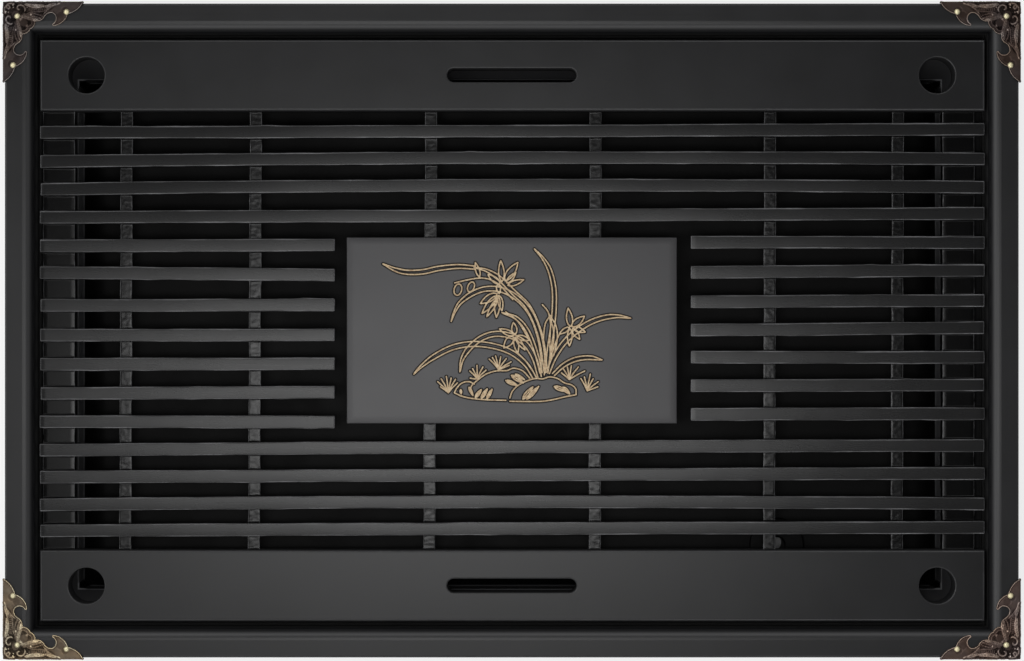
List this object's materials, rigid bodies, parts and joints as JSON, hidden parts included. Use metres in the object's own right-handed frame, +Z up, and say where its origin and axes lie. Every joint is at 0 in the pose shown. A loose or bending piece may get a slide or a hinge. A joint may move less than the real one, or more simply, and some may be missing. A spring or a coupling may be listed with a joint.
{
  "type": "gongfu tea tray",
  "caption": "Low rectangular lacquered tea tray: a mitred frame with bronze corner guards, a lift-out slatted lid with finger holes, and a lift-out water pan with a drain spigot.",
  "frame": {"origin": "on the table, under the middle of the tray", "axes": "+X along the tray to the right, +Y to the back, +Z up"},
  "size_m": [0.5134, 0.3324, 0.0637],
  "materials": {
    "lacquer": "satin black lacquer",
    "base_lacquer": "thin matt black lacquer",
    "guard_bronze": "antique bronze",
    "nail_brass": "polished",
    "pan_plastic": "satin",
    "drain_plastic": "semi-gloss",
    "screw_steel": "zinc plated",
    "rubber": "matt"
  },
  "bodies": {
    "frame": {"base_board": "base_lacquer", "base_screws": "screw_steel", "corner_guard_back_left": "guard_bronze", "corner_guard_back_right": "guard_bronze", "corner_guard_front_left": "guard_bronze", "corner_guard_front_right": "guard_bronze", "foot_back_left": "rubber", "foot_back_right": "rubber", "foot_front_left": "rubber", "foot_front_right": "rubber", "foot_screws": "screw_steel", "guard_nails": "nail_brass", "ledge_back": "lacquer", "ledge_front": "lacquer", "ledge_left": "lacquer", "ledge_right": "lacquer", "ledge_screws": "screw_steel", "rail_back": "lacquer", "rail_front": "lacquer", "rail_left": "lacquer", "rail_right": "lacquer"},
    "pan": {"drain_fitting": "drain_plastic", "drain_gasket": "rubber", "drain_nut": "drain_plastic", "water_pan": "pan_plastic"},
    "lid": {"batten_1": "lacquer", "batten_2": "lacquer", "batten_3": "lacquer", "batten_4": "lacquer", "batten_5": "lacquer", "batten_6": "lacquer", "centre_panel": "lacquer", "end_cleat_left": "lacquer", "end_cleat_right": "lacquer", "lid_board_back": "lacquer", "lid_board_front": "lacquer", "long_slat_1": "lacquer", "long_slat_2": "lacquer", "long_slat_3": "lacquer", "long_slat_4": "lacquer", "long_slat_5": "lacquer", "long_slat_6": "lacquer", "long_slat_7": "lacquer", "long_slat_8": "lacquer", "short_slat_left_1": "lacquer", "short_slat_left_2": "lacquer", "short_slat_left_3": "lacquer", "short_slat_left_4": "lacquer", "short_slat_left_5": "lacquer", "short_slat_left_6": "lacquer", "short_slat_left_7": "lacquer", "short_slat_right_1": "lacquer", "short_slat_right_2": "lacquer", "short_slat_right_3": "lacquer", "short_slat_right_4": "lacquer", "short_slat_right_5": "lacquer", "short_slat_right_6": "lacquer", "short_slat_right_7": "lacquer"}
  },
  "joints": [
    {"name": "pan_lift", "type": "slide", "parent": "frame", "child": "pan", "axis": [0, 0, 1], "range_m": [0, 0.075]},
    {"name": "lid_lift", "type": "slide", "parent": "pan", "child": "lid", "axis": [0, 0, 1], "range_m": [0, 0.06]}
  ]
}
